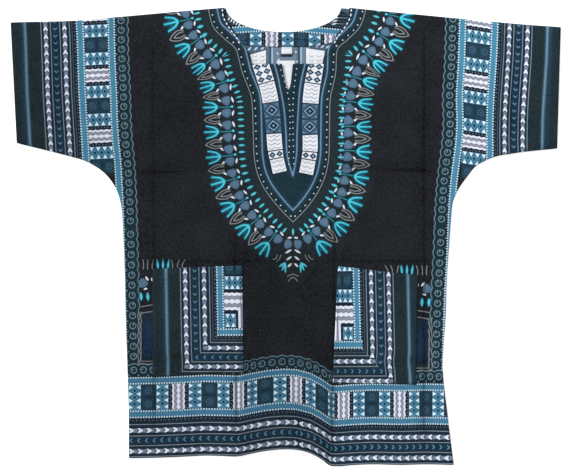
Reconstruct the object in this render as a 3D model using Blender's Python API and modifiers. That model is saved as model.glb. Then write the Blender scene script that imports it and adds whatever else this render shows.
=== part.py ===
"""A kimono-cut dashiki shirt laid flat: X to the right as seen, Y towards the neck, Z up."""

import math

import bmesh
import bpy
from mathutils import Vector

MM = 0.001

# Driving sizes, in millimetres
CLOTH = 1.1  # wall of one layer
HEM_CLOTH = 1.6  # wall where a hem is folded under
GAP = 0.3  # air between two layers that are sewn or lie together
TRIM = 1.0  # wall of the facing and the label
NECK_X = -4.0  # middle of the back neck
NECK_TOP = 401.0  # height of the shoulder points above the middle of the shirt
NECK_HALF_WIDTH = 100.8
BACK_NECK_DEPTH = 43.0
FACING_WIDTH = 26.0
LABEL_SIZE = (18.7, 12.2)
LABEL_X = 2.0

# The panel's cage, in millimetres: a row for each level down the body, a column for each
# line from shoulder to hem. Every entry is (x, y).
CAGE_COLUMNS = (
    "left side",
    "left pocket outer",
    "left pocket inner",
    "centre left",
    "centre right",
    "right pocket inner",
    "right pocket outer",
    "right side",
)
CAGE = {
    "shoulder": (
        (-311.3, 382.6), (-257.0, 387.4), (-104.0, 400.7), (-17.0, 401.1),
        (24.0, 401.1), (97.0, 401.1), (258.0, 386.0), (313.4, 380.5),
    ),
    "underarm": (
        (-285.8, 33.6), (-235.0, 33.6), (-78.0, 33.6), (-17.0, 33.6),
        (24.0, 33.6), (92.0, 33.6), (238.0, 33.6), (289.1, 33.6),
    ),
    "pocket top": (
        (-281.7, -58.0), (-232.9, -56.0), (-76.3, -50.1), (-17.0, -50.0),
        (24.0, -50.0), (91.2, -51.1), (231.5, -65.1), (282.0, -68.6),
    ),
    "pocket bottom": (
        (-276.2, -247.0), (-232.0, -245.4), (-73.7, -235.7), (-17.0, -234.0),
        (24.0, -236.0), (82.2, -250.6), (227.5, -256.9), (276.3, -258.5),
    ),
    "hem": (
        (-274.1, -386.9), (-231.0, -386.2), (-73.0, -383.3), (-17.0, -372.1),
        (24.0, -373.6), (81.0, -401.1), (230.0, -398.0), (293.7, -398.7),
    ),
}
COLUMN_CELLS = (2, 6, 2, 2, 2, 6, 2)
ROW_CELLS = (14, 4, 8, 6)

# Sleeves, in millimetres: a row for each line across the sleeve, from armhole to cuff,
# as its end on the shoulder seam and its end on the underarm seam, then the cells to the next.
SLEEVES = {
    "left": (
        ((-311.3, 382.6), (-285.8, 33.6), 1),
        ((-317.0, 382.1), (-290.0, 67.6), 1),
        ((-323.0, 381.5), (-296.5, 86.6), 1),
        ((-330.0, 380.8), (-309.2, 105.7), 1),
        ((-340.0, 379.8), (-327.0, 121.5), 1),
        ((-352.0, 379.1), (-348.0, 131.8), 1),
        ((-370.0, 378.5), (-372.8, 139.7), 4),
        ((-480.9, 374.7), (-470.2, 164.2), 0),
    ),
    "right": (
        ((313.4, 380.5), (289.1, 33.6), 1),
        ((319.0, 380.0), (292.3, 61.3), 1),
        ((325.0, 379.5), (301.9, 83.5), 1),
        ((332.0, 378.9), (317.6, 105.7), 1),
        ((341.0, 378.1), (332.5, 123.7), 1),
        ((353.0, 376.9), (353.0, 135.4), 1),
        ((371.0, 375.2), (374.0, 143.2), 4),
        ((480.9, 366.6), (474.6, 154.7), 0),
    ),
}

# Front neckline, in millimetres: drop below the shoulder points, half width there.
FRONT_NECKLINE = (
    (-20.0, 110.0),
    (4.0, 109.3),
    (15.0, 108.0),
    (28.0, 101.5),
    (40.0, 93.8),
    (49.0, 86.5),
    (61.0, 80.0),
    (75.0, 69.5),
    (86.0, 65.0),
    (99.0, 62.5),
)
FRONT_NECK_X = 2.0
SLIT_HALF_WIDTH = 9.8
SLIT_X = 3.0
SLIT_TIP = 144.4  # drop of the slit's point below the shoulder points

# Folds left by storage, in millimetres: the two ends of each, its height and half its width.
FOLDS = {
    "upper chest": ((-250.0, 113.0), (265.0, 118.0), 0.9, 20.0),
    "waist": ((-270.0, -47.0), (275.0, -44.0), 1.1, 18.0),
    "hip": ((-265.0, -217.0), (262.0, -222.0), 0.8, 18.0),
    "left quarter": ((-88.0, 290.0), (-83.0, -360.0), 1.2, 22.0),
    "right quarter": ((92.0, 290.0), (84.0, -375.0), 1.3, 22.0),
    "left flank": ((-232.0, 330.0), (-226.0, -20.0), 0.7, 20.0),
    "right flank": ((246.0, 330.0), (240.0, -20.0), 0.7, 20.0),
    "left sleeve": ((-395.0, 350.0), (-398.0, 165.0), 0.6, 22.0),
    "right sleeve": ((392.0, 345.0), (398.0, 165.0), 0.7, 22.0),
}
PUFF = 1.1  # air under the middle of the front
NECK_LIFT = 1.5  # the front rises this much over the facing


def mix(a, b, t):
    return tuple(p + (q - p) * t for p, q in zip(a, b))


def smooth(t):
    t = min(max(t, 0.0), 1.0)
    return t * t * (3 - 2 * t)


def subdivided(stations, cells):
    """The stations with evenly spaced points between each two."""
    points = [stations[0]]
    for a, b, count in zip(stations, stations[1:], cells):
        points += [mix(a, b, (i + 1) / count) for i in range(count)]
    return points


def body_rows():
    levels = list(CAGE.values())
    rows = [subdivided(levels[0], COLUMN_CELLS)]
    for upper, lower, count in zip(levels, levels[1:], ROW_CELLS):
        for i in range(count):
            level = [mix(a, b, (i + 1) / count) for a, b in zip(upper, lower)]
            rows.append(subdivided(level, COLUMN_CELLS))
    return rows


def sleeve_columns(side):
    lines = SLEEVES[side]
    cells = [line[2] for line in lines[:-1]]
    tops = subdivided([line[0] for line in lines], cells)
    ends = subdivided([line[1] for line in lines], cells)
    steps = ROW_CELLS[0]
    return [
        [mix(a, b, i / steps) for i in range(steps + 1)] for a, b in zip(tops, ends)
    ]


def fold_height(x, y):
    """How far the storage folds raise the cloth at a place."""
    raised = 0.0
    for (ax, ay), (bx, by), height, half in FOLDS.values():
        along = Vector((bx - ax, by - ay))
        length = along.length
        along /= length
        from_start = Vector((x - ax, y - ay))
        run = from_start.dot(along)
        off = abs(from_start.cross(along))
        ends = smooth(run / 60) * smooth((length - run) / 60)
        raised += height * ends * math.exp(-((off / half) ** 2))
    return raised


def front_lift(x, y):
    """Height of the front's underside above the gap over the back."""
    neck = math.hypot((x - NECK_X) / 150, (y - NECK_TOP) / 95)
    over_facing = NECK_LIFT * (1 - smooth((neck - 1) / 0.9))
    across = smooth((270 - abs(x)) / 130)
    along = smooth((y + 375) / 140) * smooth((365 - y) / 130)
    waves = 1 + 0.35 * math.sin(x / 47 + 0.8) * math.sin(y / 61) + 0.2 * math.sin(y / 29)
    puff = PUFF * across * along * max(waves, 0.3)
    return over_facing + puff + fold_height(x, y) * (0.4 + 0.6 * across)


def new_object(name, mesh, material, collection):
    obj = bpy.data.objects.new(name, mesh)
    mesh.materials.append(material)
    collection.objects.link(obj)
    return obj


def sheet_mesh(name, patches, height):
    """An open sheet facing up, made of lattice patches that share their border points."""
    bm = bmesh.new()
    known = {}

    def vertex(place):
        key = (round(place[0], 3), round(place[1], 3))
        if key not in known:
            x, y = place
            known[key] = bm.verts.new((x * MM, y * MM, height(x, y) * MM))
        return known[key]

    for patch in patches:
        for row, after in zip(patch, patch[1:]):
            for a, b, c, d in zip(row, row[1:], after[1:], after):
                bm.faces.new([vertex(p) for p in (a, b, c, d)])
    bmesh.ops.recalc_face_normals(bm, faces=bm.faces)
    bm.normal_update()
    if sum(face.normal.z for face in bm.faces) < 0:
        bmesh.ops.reverse_faces(bm, faces=bm.faces)
    mesh = bpy.data.meshes.new(name)
    bm.to_mesh(mesh)
    bm.free()
    return mesh


def outline_mesh(name, outline, z):
    """A flat face inside an outline in millimetres, facing up."""
    bm = bmesh.new()
    face = bm.faces.new([bm.verts.new((x * MM, y * MM, z * MM)) for x, y in outline])
    bm.normal_update()
    if face.normal.z < 0:
        bmesh.ops.reverse_faces(bm, faces=[face])
    mesh = bpy.data.meshes.new(name)
    bm.to_mesh(mesh)
    bm.free()
    return mesh


def thicken(obj, wall, hem_points=()):
    """A wall grown upwards from the sheet, thicker along the points of a folded hem."""
    modifier = obj.modifiers.new("Wall", "SOLIDIFY")
    modifier.offset = 1
    modifier.thickness = wall * MM
    if hem_points:
        group = obj.vertex_groups.new(name="folded hem")
        group.add(hem_points, 1.0, "REPLACE")
        modifier.vertex_group = group.name
        modifier.thickness = HEM_CLOTH * MM
        modifier.thickness_vertex_group = wall / HEM_CLOTH


def cut(obj, outline, cutters):
    mesh = outline_mesh(obj.name + " cutter", outline, -20)
    cutter = bpy.data.objects.new(obj.name + "_cutter", mesh)
    cutters.objects.link(cutter)
    walls = cutter.modifiers.new("Height", "SOLIDIFY")
    walls.thickness = 40 * MM
    walls.offset = 1
    cutter.hide_render = True
    cutter.display_type = "WIRE"
    boolean = obj.modifiers.new("Neck", "BOOLEAN")
    boolean.operation = "DIFFERENCE"
    boolean.solver = "EXACT"
    boolean.object = cutter


def front_neck_outline():
    left = [(FRONT_NECK_X - half, NECK_TOP - drop) for drop, half in FRONT_NECKLINE]
    right = [(FRONT_NECK_X + half, NECK_TOP - drop) for drop, half in FRONT_NECKLINE]
    floor = NECK_TOP - FRONT_NECKLINE[-1][0]
    slit = [
        (SLIT_X - SLIT_HALF_WIDTH, floor),
        (SLIT_X, NECK_TOP - SLIT_TIP),
        (SLIT_X + SLIT_HALF_WIDTH, floor),
    ]
    return left + slit + right[::-1]


def neck_arc(half_width, depth, power, steps, reach=0.0):
    """Left to right round the back neck. reach is how far below the shoulder points it starts."""
    points = []
    first = math.asin(reach / depth) if reach else 0.0
    for i in range(steps + 1):
        angle = first + (math.pi - 2 * first) * i / steps
        across = -math.cos(angle)
        down = (1 - abs(across) ** power) ** (1 / power)
        points.append((NECK_X + half_width * across, NECK_TOP - depth * down))
    return points


def back_neck_outline():
    arc = neck_arc(NECK_HALF_WIDTH, BACK_NECK_DEPTH, 2, 28)
    above = NECK_TOP + 20
    return arc + [(NECK_X + NECK_HALF_WIDTH, above), (NECK_X - NECK_HALF_WIDTH, above)]


def facing_outline():
    inner = neck_arc(NECK_HALF_WIDTH, BACK_NECK_DEPTH, 2, 28, reach=5)
    outer = neck_arc(
        NECK_HALF_WIDTH + FACING_WIDTH, BACK_NECK_DEPTH + FACING_WIDTH, 3, 28, reach=8
    )
    return inner + outer[::-1]


def panel_outline(patches):
    """The outer edge of the panel, once round, from its lattice patches."""
    body, left, right = patches
    steps = ROW_CELLS[0]
    left_side = [row[0] for row in body]
    right_side = [row[-1] for row in body]
    points = [row[0] for row in left[::-1]] + body[0][1:] + [row[0] for row in right[1:]]
    points += right[-1][1:] + [row[-1] for row in right[-2::-1]]
    points += right_side[steps + 1 :] + body[-1][-2::-1]
    points += left_side[-2:steps:-1] + [row[-1] for row in left[:-1]]
    points += left[-1][:0:-1]
    return points


def make_pocket(name, side, panel_mesh, patches, material, collection):
    """A patch pocket on the points of the front panel beneath it, moved out."""
    first = CAGE_COLUMNS.index(f"{side} pocket " + ("outer" if side == "left" else "inner"))
    start, stop = sum(COLUMN_CELLS[:first]), sum(COLUMN_CELLS[: first + 1])
    top, bottom = sum(ROW_CELLS[:2]), sum(ROW_CELLS[:3])
    under = {
        (round(v.co.x / MM, 2), round(v.co.y / MM, 2)): v.co + v.normal * (CLOTH + GAP) * MM
        for v in panel_mesh.vertices
    }
    rows = [row[start : stop + 1] for row in patches[0][top : bottom + 1]]
    mouth = {(round(x, 2), round(y, 2)) for x, y in rows[0]}
    mesh = sheet_mesh(name, [rows], lambda x, y: 0.0)
    hem_points = []
    for v in mesh.vertices:
        place = (round(v.co.x / MM, 2), round(v.co.y / MM, 2))
        if place in mouth:
            hem_points.append(v.index)
        v.co = under[place]
    thicken(new_object(name, mesh, material, collection), CLOTH, hem_points)


def material(name, colour, roughness):
    made = bpy.data.materials.new(name)
    made.use_nodes = True
    shader = made.node_tree.nodes["Principled BSDF"]
    shader.inputs["Base Color"].default_value = (*colour, 1)
    shader.inputs["Roughness"].default_value = roughness
    shader.inputs["Metallic"].default_value = 0.0
    return made


def main():
    for obj in list(bpy.data.objects):
        bpy.data.objects.remove(obj)
    shirt = bpy.data.collections.new("dashiki shirt")
    cutters = bpy.data.collections.new("cutters")
    for collection in (shirt, cutters):
        bpy.context.scene.collection.children.link(collection)

    printed = material("printed cotton, face", (0.012, 0.012, 0.016), 0.85)
    reverse = material("printed cotton, back panel", (0.016, 0.018, 0.022), 0.88)
    pocket_cloth = material("printed cotton, pockets", (0.02, 0.035, 0.04), 0.85)
    facing_cloth = material("printed cotton, facing", (0.05, 0.12, 0.16), 0.85)
    woven_white = material("woven white label", (0.82, 0.81, 0.8), 0.7)

    patches = [
        body_rows(),
        sleeve_columns("left"),
        sleeve_columns("right"),
    ]

    back = new_object(
        "back_panel", outline_mesh("back_panel", panel_outline(patches), 0), reverse, shirt
    )
    thicken(back, CLOTH)
    cut(back, back_neck_outline(), cutters)

    front_mesh = sheet_mesh(
        "front_panel", patches, lambda x, y: CLOTH + GAP + front_lift(x, y)
    )
    front = new_object("front_panel", front_mesh, printed, shirt)
    edges = {(round(x, 2), round(y, 2)) for x, y in patches[0][-1]}
    edges |= {(round(x, 2), round(y, 2)) for sleeve in patches[1:] for x, y in sleeve[-1]}
    thicken(
        front,
        CLOTH,
        [
            v.index
            for v in front_mesh.vertices
            if (round(v.co.x / MM, 2), round(v.co.y / MM, 2)) in edges
        ],
    )
    cut(front, front_neck_outline(), cutters)

    for side in ("left", "right"):
        make_pocket(f"pocket_{side}", side, front_mesh, patches, pocket_cloth, shirt)

    facing = new_object(
        "back_neck_facing",
        outline_mesh("back_neck_facing", facing_outline(), CLOTH + GAP),
        facing_cloth,
        shirt,
    )
    thicken(facing, TRIM)

    wide, high = LABEL_SIZE
    label_top = NECK_TOP - BACK_NECK_DEPTH - FACING_WIDTH - GAP
    corners = [(-wide / 2, 0), (wide / 2, 0), (wide / 2, -high), (-wide / 2, -high)]
    label = new_object(
        "label",
        outline_mesh(
            "label", [(LABEL_X + x, label_top + y) for x, y in corners], CLOTH + GAP
        ),
        woven_white,
        shirt,
    )
    thicken(label, TRIM)


main()
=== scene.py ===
import math

import bpy
import numpy as np
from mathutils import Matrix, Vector
from mathutils.geometry import delaunay_2d_cdt


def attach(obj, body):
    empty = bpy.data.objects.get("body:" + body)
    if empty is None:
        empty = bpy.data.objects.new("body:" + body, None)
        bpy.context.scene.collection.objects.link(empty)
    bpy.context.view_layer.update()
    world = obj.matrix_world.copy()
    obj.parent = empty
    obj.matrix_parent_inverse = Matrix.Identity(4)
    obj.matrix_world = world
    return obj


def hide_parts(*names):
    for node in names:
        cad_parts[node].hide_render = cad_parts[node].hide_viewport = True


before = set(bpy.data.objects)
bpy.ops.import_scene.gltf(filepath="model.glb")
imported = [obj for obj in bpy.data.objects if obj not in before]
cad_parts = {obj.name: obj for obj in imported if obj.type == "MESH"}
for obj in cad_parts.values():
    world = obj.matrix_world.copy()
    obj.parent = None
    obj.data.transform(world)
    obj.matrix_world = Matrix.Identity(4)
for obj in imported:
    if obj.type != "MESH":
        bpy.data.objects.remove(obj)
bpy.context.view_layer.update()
mm = 0.001  # sizes below are in millimetres, x to the right as seen, y towards the neck


# Camera, straight above the shirt as in the photograph
view = {
    "height": 3,  # above the floor, m
    "middle": (-1.2, 2.3),
    "pictureWidth": 997.5,  # what the picture takes in at the cloth
    "lightLevel": 1.08,  # white cloth comes out this bright
}


def makeCamera():
    data = bpy.data.cameras.new("camera")
    data.sensor_width = 36
    data.lens = 36 * view["height"] / (view["pictureWidth"] * mm)
    data.clip_end = 60
    camera = bpy.data.objects.new("camera", data)
    camera.location = (view["middle"][0] * mm, view["middle"][1] * mm, view["height"])
    bpy.context.scene.collection.objects.link(camera)
    bpy.context.scene.camera = camera


makeCamera()
print("camera made")


# The garment: sizes shared by its pieces
cloth = {
    "wall": 1.1,
    "gap": 0.3,
    "trim": 1,
    "hemDepth": 17,  # turned under at the hem and the cuffs
    "hemStep": 0.45,
    "neckX": -4,
    "neckTop": 401,
    "neckHalfWidth": 100.8,
    "backNeckDepth": 43,
    "facingWidth": 26,
    "frontNeckX": 2,
    "slitX": 3,
    "slitHalfWidth": 9.6,
    "slitDrop": 144.4,
    "puff": 1.1,
    "neckLift": 1.5,
}

# The cut outside the neck, counter-clockwise, each run as (x, y) points
leftShoulder = ((-167.5, 395.3), (-311.3, 382.6), (-345.1, 379.4), (-480.9, 374.7))
leftUnderarm = (
    (-470.2, 164.2), (-372.8, 139.7), (-355.8, 135), (-340, 127.5), (-322, 116),
    (-309.2, 103.5), (-297, 85), (-290, 66), (-286.6, 47), (-284.8, 15),
    (-281.6, -61.6), (-279.6, -150), (-276.2, -242), (-274.3, -301), (-274.1, -386.9),
)
hem = (
    (-274.1, -386.9), (-223.1, -386), (-176.6, -384.1), (-142.6, -382.4), (-112.9, -382.9),
    (-82, -383.6), (-62, -379.4), (-32.4, -374), (-6.8, -371.6), (17.7, -372.2),
    (43, -378.6), (62.1, -388.8), (79, -400.4), (90, -401), (117.3, -398.9),
    (151.2, -397.6), (202.1, -398.6), (244.5, -397.6), (293.7, -398.7),
)
rightUnderarm = (
    (293.7, -398.7), (286.8, -343.9), (281.6, -300), (276.6, -259), (274.2, -226),
    (275.6, -195), (279.5, -135.1), (281.6, -72.5), (286, -8.8), (289.1, 33.6),
    (292.3, 61.3), (301.9, 83.5), (317.6, 105.7), (332.5, 123.7), (347.4, 132.3),
    (361.2, 138.7), (398.3, 146.1), (474.6, 154.7),
)
rightShoulder = ((480.9, 366.6), (425.8, 370.4), (313.4, 380.5), (165, 394.7))

# Front neckline: drop below the shoulder points, half width there
frontNeckline = (
    (0.8, 109.5), (15, 108), (28, 101.5), (40, 93.8), (49, 86.5),
    (61, 80), (75, 69.5), (86, 65), (99, 62.5),
)

# The slit below it: drop, lean, half width
frontSlit = ((0, 0, 9.6), (18, 0.6, 7.4), (34, 1.2, 5), (42, 1.4, 2.6), (45.4, 1.2, 0.6))

# Folds left by storage: two ends, height, half width. The soft ones are the solids' own
softFolds = (
    ((-250, 113), (265, 118), 0.9, 20), ((-270, -47), (275, -44), 1.1, 18),
    ((-265, -217), (262, -222), 0.8, 18), ((-88, 290), (-83, -360), 1.2, 22),
    ((92, 290), (84, -375), 1.3, 22), ((-232, 330), (-226, -20), 0.7, 20),
    ((246, 330), (240, -20), 0.7, 20), ((-395, 350), (-398, 165), 0.6, 22),
    ((392, 345), (398, 165), 0.7, 22),
)
sharpFolds = (
    ((-283, 108), (-150, 113), 0.55, 4.5), ((-170, 114), (-60, 118), 0.4, 5),
    ((66, 117), (180, 116), 0.4, 5), ((150, 116), (284, 112), 0.6, 4.5),
    ((-276, -46), (280, -45), 0.35, 6), ((-272, -218), (-120, -217), 0.5, 4),
    ((-110, -217), (90, -221), 0.3, 5), ((95, -221), (272, -224), 0.55, 4),
    ((-86, 20), (-82, -378), 0.5, 4), ((90, 60), (84, -396), 0.5, 4),
    ((-229, 380), (-226, -385), 0.3, 5), ((246, 380), (245, -396), 0.45, 4.5),
    ((-396, 370), (-399, 150), 0.25, 6), ((394, 368), (398, 150), 0.3, 6),
)
wrinkles = (
    ((-250, 120), (-190, 190), 0.5, 9), ((-262, 70), (-205, 20), 0.45, 10),
    ((-240, 235), (-160, 262), 0.35, 11), ((-215, 60), (-140, 84), 0.3, 8),
    ((-196, 160), (-130, 128), 0.35, 9), ((252, 128), (196, 205), 0.5, 10),
    ((268, 60), (216, -6), 0.45, 9), ((236, 250), (150, 286), 0.35, 12), ((212, 54), (140, 92), 0.3, 9),
    ((200, 150), (128, 126), 0.35, 8), ((-60, -60), (40, -76), 0.3, 9),
    ((-52, -140), (60, -122), 0.35, 11), ((-60, -176), (30, -200), 0.25, 9),
    ((-44, -268), (52, -262), 0.3, 12), ((-160, 10), (-96, -22), 0.3, 9),
    ((104, 8), (170, -24), 0.3, 10), ((-366, 150), (-345, 215), 0.4, 9),
    ((362, 152), (340, 224), 0.4, 10), ((-330, 300), (-352, 352), 0.3, 10),
    ((326, 306), (350, 350), 0.3, 9), ((-120, -330), (-40, -322), 0.3, 10),
    ((120, -340), (210, -332), 0.3, 11),
)

# Where the light falls away: two ends, how much, half width
shadeFolds = (
    ((-124, 275), (-268, 148), 0.15, 20), ((-60, 200), (-150, 120), 0.06, 16),
    ((152, 290), (276, 146), 0.16, 20), ((-276, 128), (276, 130), 0.07, 14),
    ((-270, -42), (-80, -44), 0.14, 7), ((92, -46), (272, -52), 0.14, 7),
    ((-240, -210), (-160, -210), 0.26, 6), ((180, -212), (250, -214), 0.26, 6),
)


def smooth(t):
    t = np.clip(t, 0, 1)
    return t * t * (3 - 2 * t)


def rounded(points, step=6.0):
    # a smooth line through the points, with a point about every step
    p = np.array(points, float)
    run = np.concatenate([[0], np.cumsum(np.hypot(*np.diff(p, axis=0).T))])
    slope = np.gradient(p, run, axis=0)
    at = np.linspace(0, run[-1], max(2, round(run[-1] / step)) + 1)
    i = np.clip(np.searchsorted(run, at, side="right") - 1, 0, len(p) - 2)
    h = (run[i + 1] - run[i])[:, None]
    t = (at - run[i])[:, None] / h
    start = (2 * t**3 - 3 * t**2 + 1) * p[i] + (t**3 - 2 * t**2 + t) * h * slope[i]
    return start + (3 * t**2 - 2 * t**3) * p[i + 1] + (t**3 - t**2) * h * slope[i + 1]


def unit(vectors):
    return vectors / np.maximum(np.linalg.norm(vectors, axis=1), 1e-9)[:, None]


def toward(a, b):
    # how far b is from a, and the direction
    length = math.hypot(b[0] - a[0], b[1] - a[1])
    return length, (b[0] - a[0]) / length, (b[1] - a[1]) / length


def outsideCut():
    runs = [rounded(leftShoulder[1:], 12), rounded(leftUnderarm, 5), rounded(hem, 5)[1:]]
    runs += [rounded(rightUnderarm, 5)[1:], rounded(rightShoulder[:-1], 12)]
    return np.vstack([leftShoulder[:1], *runs, rightShoulder[-1:]])


def neckSide(way, count=None):
    # one side of the front neckline, downwards
    middle, top = cloth["frontNeckX"], cloth["neckTop"]
    return [(middle + way * half, top - drop) for drop, half in frontNeckline[:count]]


def frontCut():
    right = rounded(neckSide(1), 5)
    left = right * (-1, 1) + (2 * cloth["frontNeckX"], 0)
    x, floor = cloth["slitX"], cloth["neckTop"] - frontNeckline[-1][0]
    slit = [(x + lean + half, floor - down) for down, lean, half in frontSlit]
    slit += [(x + lean - half, floor - down) for down, lean, half in frontSlit[::-1]]
    return np.vstack([outsideCut(), right, slit, left[::-1]])


def neckArc(wider, power, reach, steps=40):
    # left to right round the back neck, starting reach below the shoulder points
    depth = cloth["backNeckDepth"] + wider
    first = math.asin(reach / depth)
    across = -np.cos(np.linspace(first, math.pi - first, steps))
    down = (1 - np.abs(across) ** power) ** (1 / power)
    x = cloth["neckX"] + (cloth["neckHalfWidth"] + wider) * across
    return np.column_stack([x, cloth["neckTop"] - depth * down])


def backCut():
    return np.vstack([outsideCut(), neckArc(0, 2, 1.2)[::-1]])


def foldHeight(x, y, folds):
    raised = np.zeros_like(x)
    for a, b, height, half in folds:
        length, ux, uy = toward(a, b)
        run = (x - a[0]) * ux + (y - a[1]) * uy
        off = (x - a[0]) * uy - (y - a[1]) * ux
        fade = min(60, length / 2.5)
        ends = smooth(run / fade) * smooth((length - run) / fade)
        raised += height * ends * np.exp(-((off / half) ** 2))
    return raised


def frontUnder(x, y):
    # height of the front's underside: over the facing, the trapped air and the folds
    neck = np.hypot((x - cloth["neckX"]) / 150, (y - cloth["neckTop"]) / 95)
    overFacing = cloth["neckLift"] * (1 - smooth((neck - 1) / 0.9))
    across = smooth((270 - np.abs(x)) / 130)
    along = smooth((y + 375) / 140) * smooth((365 - y) / 130)
    waves = 1 + 0.35 * np.sin(x / 47 + 0.8) * np.sin(y / 61) + 0.2 * np.sin(y / 29)
    puff = cloth["puff"] * across * along * np.maximum(waves, 0.3)
    soft = foldHeight(x, y, softFolds) * (0.4 + 0.6 * across)
    sharp = foldHeight(x, y, sharpFolds) + foldHeight(x, y, wrinkles)
    return cloth["wall"] + cloth["gap"] + overFacing + puff + soft + sharp


cuffs = {
    "left": (leftShoulder[-1], leftUnderarm[0]),
    "right": (rightShoulder[0], rightUnderarm[-1]),
}


def hemFold(x, y):
    # the step where the hem and the cuffs are turned under
    line = rounded(hem, 8)
    above = y - np.interp(x, line[:, 0], line[:, 1])
    raised = smooth((cloth["hemDepth"] - above) / 2.5) * (np.abs(x) < 300)
    for top, bottom in cuffs.values():
        length = math.hypot(bottom[0] - top[0], bottom[1] - top[1])
        across = ((bottom[1] - top[1]) * (x - top[0]) - (bottom[0] - top[0]) * (y - top[1])) / length
        raised += smooth((cloth["hemDepth"] - np.abs(across)) / 2.5) * (y > 100)
    return cloth["hemStep"] * raised


def frontTop(x, y):
    return frontUnder(x, y) + cloth["wall"] + hemFold(x, y)


print("garment sizes read")


# Printing: shapes are laid over each other on a piece of cloth and become its mesh
inkHex = {
    "ground": "#1f2126", "green": "#1e2c31", "navy": "#1c2e3f", "navyDark": "#1a2a38",
    "line": "#7b8892", "lineDim": "#4a5864", "white": "#dfe9f5", "tail": "#75839b", "notch": "#333c4a",
    "dim": "#568197", "dimField": "#173143", "speckle": "#8397a8", "teal": "#4785a4",
    "tealHem": "#447998", "dot": "#d2e9f4", "tile": "#28566f", "tileLight": "#4e839e",
    "tileEye": "#042943", "triangle": "#d8edfb", "darkTile": "#1a3340", "darkSquare": "#233f4f",
    "darkRing": "#3b5c74", "divider": "#1c2433", "waveWhite": "#e3e8f5", "waveGrey": "#8a8d9f",
    "scroll": "#67818e", "scrollField": "#192f39", "streak": "#648599", "shield": "#18313a",
    "blockBlue": "#45657d", "blockPale": "#7f9fbb", "blockDark": "#1d2f3f", "blockWhite": "#e9ecf3",
    "blockGrey": "#9498a4", "turquoise": "#4fcade", "turquoiseDeep": "#145a70", "dash": "#5cc4d2",
    "seed": "#52708a", "seedCore": "#5b7891", "outline": "#85898c", "stem": "#2c8a96",
    "fieldBlue": "#193049", "fieldEdge": "#1a2a34", "reverse": "#71869a", "reverseDark": "#4b6274",
    "reversePale": "#b4cfe6", "reverseWhite": "#eceff4", "under": "#4b5866", "selvage": "#1c2228",
    "glow": "#213c50", "pocketGlow": "#1e3642", "rope": "#7698b6", "shadow": "#2c3a48",
    "strip": "#18313a", "haze": "#222f33",
}


def linear(code):
    values = [int(code[i : i + 2], 16) / 255 for i in (1, 3, 5)]
    bent = [v / 12.92 if v <= 0.04045 else ((v + 0.055) / 1.055) ** 2.4 for v in values]
    return np.array(bent) / view["lightLevel"]


inks = {name: linear(code) for name, code in inkHex.items()}


def colourOf(ink):
    return inks[ink] if isinstance(ink, str) else ink


def blend(one, other, share):
    return colourOf(one) + (colourOf(other) - colourOf(one)) * share


def softInks(field, ink, glow="glow", steps=22):
    # a pale line in a blue glow that lies mostly on its outer side: place, colour
    for t in np.linspace(-3, 1.6, steps):
        under = blend(field, glow, math.exp(-(((t + 0.8) * 0.75) ** 2)))
        yield t, blend(under, ink, math.exp(-((t * 1.9) ** 2)))


def lane(points, step=6.0, flip=False):
    # places things along a line: run from its first point, side to the left of it, or right if flipped
    line = rounded(points, step)
    run = np.concatenate([[0], np.cumsum(np.hypot(*np.diff(line, axis=0).T))])
    heading = unit(np.gradient(line, run, axis=0))

    def at(along, side):
        side = -side if flip else side
        over = along - np.clip(along, 0, run[-1])
        x, y = (np.interp(along, run, line[:, k]) for k in (0, 1))
        hx, hy = (np.interp(along, run, heading[:, k]) for k in (0, 1))
        return x + hx * over - hy * side, y + hy * over + hx * side

    return at, run[-1]


def ringShape(radius, corners=6):
    turn = np.arange(corners) * 2 * math.pi / corners
    return np.column_stack([radius * np.cos(turn), radius * np.sin(turn)])


def strokeShape(points, width, step=2.0, taper=0):
    # a brush stroke along a line; taper thins its far end
    line = rounded(points, step)
    heading = unit(np.gradient(line, axis=0))
    half = width / 2 * (1 - taper * np.linspace(0, 1, len(line)))[:, None]
    off = np.column_stack([-heading[:, 1], heading[:, 0]]) * half
    return np.vstack([line + off, (line - off)[::-1]])


def leafShape(base, tip, width):
    base, tip = np.array(base, float), np.array(tip, float)
    ahead = tip - base
    across = np.array([-ahead[1], ahead[0]]) / np.linalg.norm(ahead) * width / 2
    bend = ((0, 0), (0.25, 0.75), (0.5, 1), (0.78, 0.7), (1, 0))
    one = [base + ahead * t + across * w for t, w in bend]
    other = [base + ahead * t - across * w for t, w in bend[-2:0:-1]]
    return np.vstack([one, other])


def snailShape():
    turn = np.linspace(math.radians(-160), math.radians(205), 17)
    circle = np.column_stack([5.3 * np.cos(turn), 5.3 * np.sin(turn)])
    return strokeShape(np.vstack([circle[:-1], [(-2.6, 1), (0.4, 0.6)]]), 1.9, 2.2)


motifs = {
    "head": ((5.2, 0), (2.4, 2.5), (-0.8, 4), (-4.5, 4), (-1.8, 0), (-4.5, -4), (-0.8, -4), (2.4, -2.5)),
    "tail": ((-0.8, 0), (-4.2, 3.8), (-13, 3.3), (-13, -3.3), (-4.2, -3.8)),
    "notch": ((-1.4, 0), (-4.6, 3.6), (-5.8, 2.8), (-3.8, 0), (-5.8, -2.8), (-4.6, -3.6)),
    "chevron": ((3.8, 0), (0.6, 3.7), (-2.8, 4.1), (0.5, 0), (-2.8, -4.1), (0.6, -3.7)),
    "dot": ringShape(1.5),
    "speckle": ringShape(0.9, 5),
    "snail": snailShape(),
    "nub": ((-2.2, -1.2), (2.2, -1.2), (0, 2)),
    "lozenge": ((1, 0), (0, 1), (-1, 0), (0, -1)),
}
motifs = {name: np.array(shape) for name, shape in motifs.items()}

band = {"dotPitch": 4.6, "specklePitch": 7.1, "arrows": 5.6, "chevrons": 5.2}  # half widths of the last two

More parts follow.
